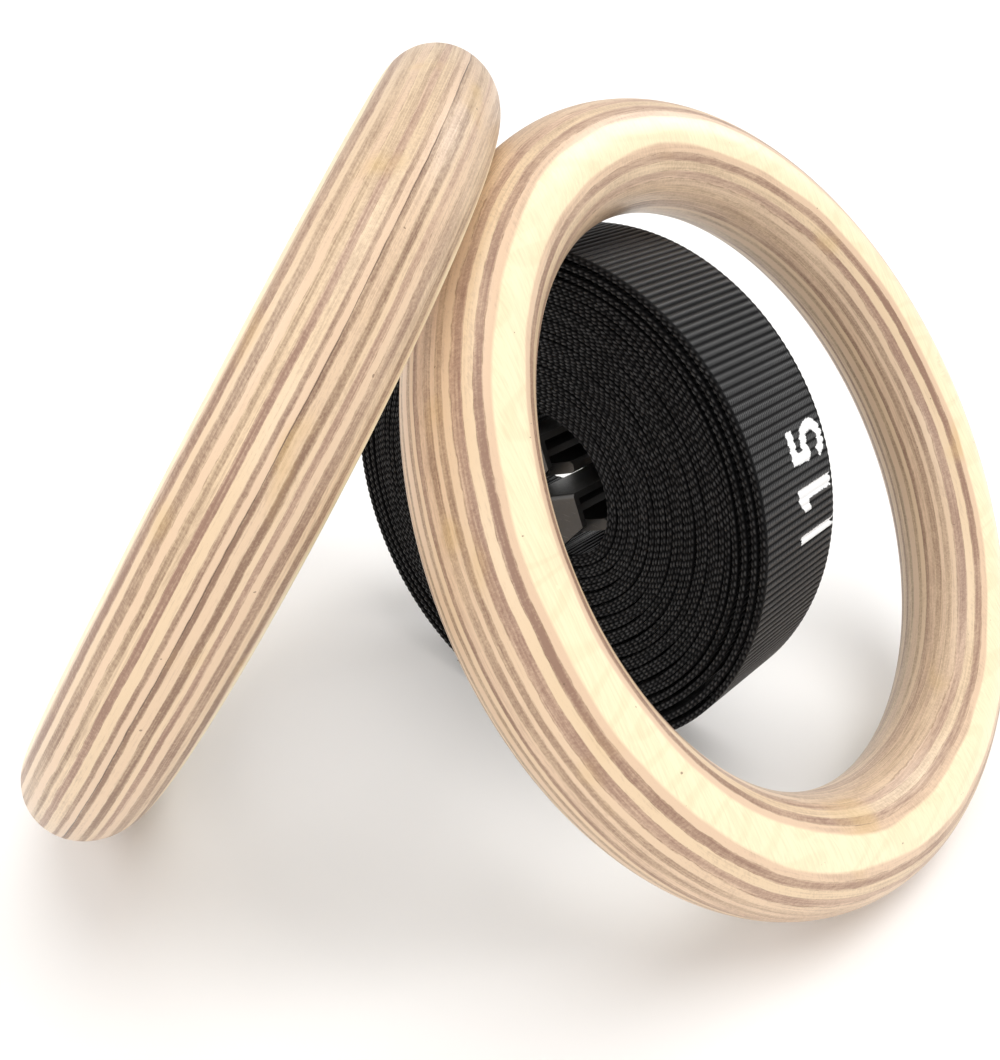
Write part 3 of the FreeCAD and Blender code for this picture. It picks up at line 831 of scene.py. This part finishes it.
def webbing_material():
    """Black webbing: crosswise ribs of packed yarn, tight slanted loops along both edges, with painted
    shade in the grooves and painted highlights on the tops.
    """
    g = Graph("webbing_black")
    run, y, depth = g.attribute("web_mm")[1:]
    half = WIDTH / 2
    edge = g.smooth(g.math("ABSOLUTE", y), half - 1.5, half - 0.7)
    # ribs across the width, each packed from slanted yarn
    rib = g.math("DIVIDE", run, RIB)
    part = g.math("FRACT", g.add(rib, 0.5))
    hill = g.math("POWER", g.math("ABSOLUTE", g.math("COSINE", g.times(rib, math.pi))), 1.1)
    stagger = g.add(g.math("DIVIDE", y, 0.86), g.times(part, 1.15))
    yarn = g.math("POWER", g.math("ABSOLUTE", g.math("SINE", g.times(stagger, math.pi))), 0.6)
    # two rows of loops along the edges, half a rib apart, leaning the same way
    side = g.times(g.math("SIGN", depth), 0.25)
    lean = g.times(g.times(depth, 0.22), g.math("SIGN", y))
    count = g.add(g.add(rib, side), lean)
    loop = g.math("POWER", g.math("ABSOLUTE", g.math("COSINE", g.times(count, math.pi))), 1.3)
    number = g.math("FLOOR", g.add(count, 0.5))
    which = g.random(g.add(number, g.times(side, 2000.0)), 7.0)
    offset = g.math("DIVIDE", g.less(g.math("ABSOLUTE", depth), 0.5), 0.5)
    middle = g.rest(g.times(g.times(offset, offset), 0.9))
    bead = g.times(g.times(loop, middle), g.add(0.58, g.times(which, 0.5)))
    fuzz = g.noise(g.combine(g.times(run, 1.4), g.times(y, 3.0), depth), 1.6, 4.0, 0.7)
    slow = g.noise(g.combine(run, y, depth), 0.05, 3.0, 0.6)
    flat = g.times(g.times(yarn, 0.60), hill)
    flat = g.add(flat, g.times(hill, 0.40))
    level = g.node("ShaderNodeMix", data_type="FLOAT")
    g.plug(edge, level.inputs[0])
    g.plug(flat, level.inputs[2])
    g.plug(bead, level.inputs[3])
    relief = level.outputs[0]
    # painted shade: the colour goes darker down into the grooves between ribs and between the rows of
    # edge loops, and lighter on their tops; the noise gives real tone
    shade = g.times(g.smooth(relief, 0.15, 0.95), g.add(0.55, g.times(fuzz, 0.7)))
    shade = g.times(shade, g.add(0.7, g.times(slow, 0.6)), clamp=True)
    # painted highlights: a bright glint on the tops of the edge loops and a lighter crest along each rib
    glint = g.times(edge, g.smooth(bead, 0.80, 1.15))
    crest_highlight = g.times(g.rest(edge), g.smooth(relief, 0.60, 1.0))
    colour = g.mix(shade, (0.0032, 0.0031, 0.0034), (0.0185, 0.0178, 0.019))
    colour = g.mix(g.times(g.rest(edge), 0.30), colour, (0.004, 0.0039, 0.0042))
    colour = g.mix(g.times(crest_highlight, 0.5), colour, (0.024, 0.0235, 0.025))
    colour = g.mix(glint, colour, (0.036, 0.036, 0.037))
    height = g.add(relief, g.times(fuzz, 0.2))
    normal = g.bump(height, 0.85, 0.00028)
    g.plug(g.times(g.add(0.12, shade), 0.40), g.shader.inputs["Specular IOR Level"])
    g.shader.inputs["Sheen Weight"].default_value = 0.06
    g.shader.inputs["Sheen Roughness"].default_value = 0.35
    return g.finish(colour, g.less(0.54, g.times(shade, 0.2)), normal)


def thread_material():
    """Dark twisted sewing thread."""
    g = Graph("thread_black")
    place = g.attribute("thread_mm")[0]
    twist = g.noise(place, 3.2, 2.0, 0.6)
    colour = g.mix(twist, (0.004, 0.004, 0.004), (0.03, 0.03, 0.032))
    return g.finish(colour, 0.45, g.bump(twist, 0.6, 0.0001))


def metal_material(name, dark, light, roughness, scale):
    """Cast or rolled metal: cloudy plating, small pits and fine handling scratches."""
    g = Graph(name)
    place = g.node("ShaderNodeTexCoord").outputs["Object"]
    cloud = g.noise(place, scale, 4.0, 0.6)
    grit = g.noise(place, scale * 22, 3.0, 0.6)
    stretch = g.node("ShaderNodeMapping")
    g.plug(place, stretch.inputs["Vector"])
    stretch.inputs["Rotation"].default_value = (0.4, 0.9, 0.2)
    stretch.inputs["Scale"].default_value = (1.0, 22.0, 22.0)
    scratch = g.smooth(g.noise(stretch.outputs[0], scale * 2.5, 2.0, 0.5), 0.66, 0.70)
    colour = g.mix(cloud, dark, light)
    bright = tuple(min(1.0, v * 1.5) for v in light)
    colour = g.mix(g.times(scratch, 0.5), colour, bright)
    height = g.less(g.times(grit, 0.6), g.times(scratch, 0.5))
    g.shader.inputs["Metallic"].default_value = 1.0
    rough = g.add(roughness, g.swing(grit, 0.25))
    return g.finish(colour, rough, g.bump(height, 0.35, 0.00006))


def dress(node, body_metal, edge_metal, width):
    """Metal for a CAD piece, with its sharp edges rounded and painted lighter as a highlight."""
    piece = NODES[node]
    piece.data.materials.clear()
    piece.data.materials.append(body_metal)
    piece.data.materials.append(edge_metal)
    bevel = piece.modifiers.new("rounded_edges_highlight", "BEVEL")
    bevel.width = width * MM
    bevel.segments = 2
    bevel.limit_method = "ANGLE"
    bevel.angle_limit = math.radians(40)
    # the bevelled edges take the second, lighter metal: a painted highlight along every sharp edge
    bevel.material = 1


# ------------------------------------------------------------------ build

make_camera()
make_floor()
make_light()
make_ring("a", birch_material("a", 3.0, 30.0, 14.9, 0.62))
make_ring("b", birch_material("b", 11.0, 99.0, 15.15, 0.52))
webbing = webbing_material()
thread = thread_material()
ink = ink_material()
zinc = metal_material("zinc_dark_satin", (0.085, 0.082, 0.08), (0.15, 0.145, 0.14), 0.42, 60.0)
# lighter zinc for the bevelled edges, a painted highlight
zinc_edge_highlight = metal_material("zinc_painted_edge_highlight", (0.26, 0.25, 0.24), (0.42, 0.41, 0.40), 0.35, 60.0)
steel = metal_material("pin_steel_turned", (0.22, 0.22, 0.22), (0.36, 0.355, 0.35), 0.3, 90.0)
wire = metal_material("spring_wire_drawn", (0.14, 0.14, 0.145), (0.26, 0.26, 0.265), 0.32, 120.0)
for which in ("a", "b"):
    strap = Strap(which)
    belt = make_strap(which, strap, webbing)
    extras = [make_stitching(which, strap, thread)]
    if which == "a":
        extras.append(make_print(strap, ink))
    make_spring(which, wire)
    dress("buckle_frame_" + which, zinc, zinc_edge_highlight, 0.3)
    dress("cam_lever_" + which, zinc, zinc_edge_highlight, 0.25)
    dress("pivot_pin_" + which, steel, steel, 0.2)
